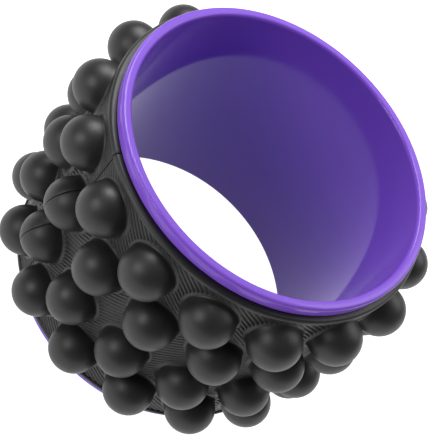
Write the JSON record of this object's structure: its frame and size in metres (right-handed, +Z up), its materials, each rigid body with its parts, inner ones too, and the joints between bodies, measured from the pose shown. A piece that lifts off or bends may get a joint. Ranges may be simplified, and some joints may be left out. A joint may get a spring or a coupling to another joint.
{
  "type": "yoga wheel",
  "caption": "Hollow plastic drum with rounded rims and a bonded elastomer sleeve carrying staggered rows of round massage knobs, for rolling out and stretching the back.",
  "frame": {"origin": "centre of the lower rim's plane, on the wheel's axis", "axes": "+Z up along the wheel's axis from the lower rim to the upper rim, +X through a knob of the outer rows"},
  "size_m": [0.2428, 0.2428, 0.168],
  "materials": {
    "drum_plastic": "smooth glossy moulded plastic, violet",
    "sleeve_elastomer": "satin moulded elastomer with fine slanting ribs between smooth knobs, black",
    "adhesive": "cured contact adhesive, amber"
  },
  "bodies": {
    "root": {"core_drum": "drum_plastic", "knob_sleeve": "sleeve_elastomer", "bond_film": "adhesive"}
  },
  "joints": []
}
